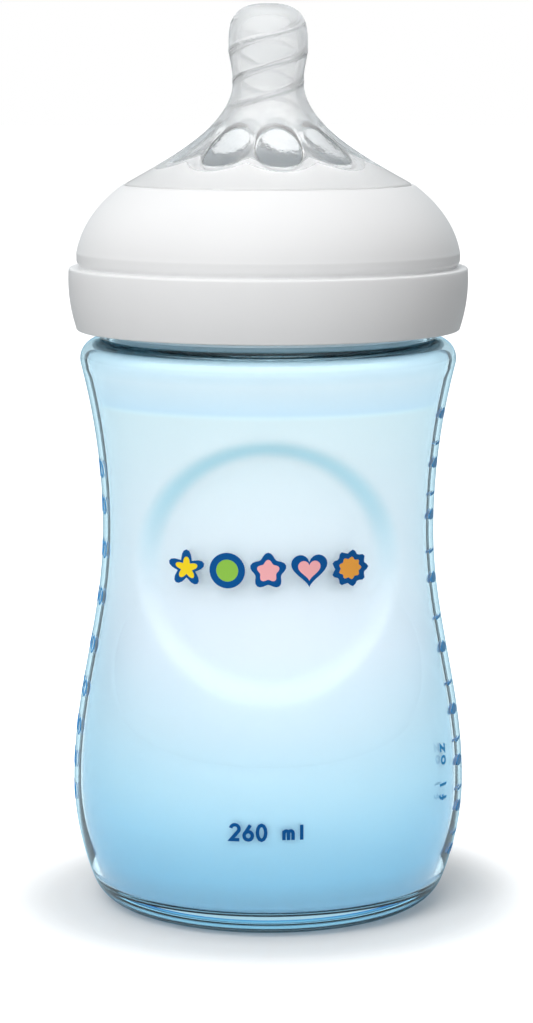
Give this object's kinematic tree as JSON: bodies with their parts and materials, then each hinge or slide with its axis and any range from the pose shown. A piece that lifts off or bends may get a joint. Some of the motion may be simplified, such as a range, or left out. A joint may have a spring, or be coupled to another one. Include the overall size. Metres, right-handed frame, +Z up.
{
  "type": "baby bottle",
  "caption": "Waisted wide-neck feeding bottle, clear blue body with printed volume scales, white screw ring and soft silicone teat.",
  "frame": {"origin": "centre of the foot, on the surface that the bottle stands on", "axes": "+Z up along the bottle's axis to the teat, -Y to the front with the round badge panel, +X to the ounce scale"},
  "size_m": [0.0706, 0.0706, 0.1602],
  "materials": {
    "tinted_body": "clear, light blue tinted polypropylene, high gloss",
    "white_ring": "white polypropylene, satin gloss",
    "clear_silicone": "clear liquid silicone, frosted in places",
    "scale_blue_ink": "printed ink, medium blue",
    "dark_blue_ink": "printed ink, dark blue",
    "green_ink": "printed ink, green",
    "yellow_ink": "printed ink, yellow",
    "orange_ink": "printed ink, orange",
    "pink_ink": "printed ink, pink"
  },
  "bodies": {
    "bottle": {"bottle_body": "tinted_body", "ounce_drops": "scale_blue_ink", "half_ounce_ticks": "scale_blue_ink", "ounce_unit": "scale_blue_ink", "millilitre_numbers": "scale_blue_ink", "millilitre_ticks": "scale_blue_ink", "capacity_label": "dark_blue_ink", "badge_blue": "dark_blue_ink", "badge_green": "green_ink", "badge_yellow": "yellow_ink", "badge_orange": "orange_ink", "badge_pink": "pink_ink"},
    "teat": {"teat": "clear_silicone"},
    "ring": {"screw_ring": "white_ring"}
  },
  "joints": [
    {"name": "teat_lift", "type": "slide", "parent": "bottle", "child": "teat", "axis": [0, 0, 1], "range_m": [0, 0.01501]},
    {"name": "ring_turn", "type": "hinge", "parent": "teat", "child": "ring", "pos_m": [0, 0, 0.1157], "axis": [0, 0, 1], "range_deg": [0, 540]}
  ],
  "couplings": [
    {"joint": "teat_lift", "follows": "ring_turn", "m_per_rad": 0.0015915}
  ]
}
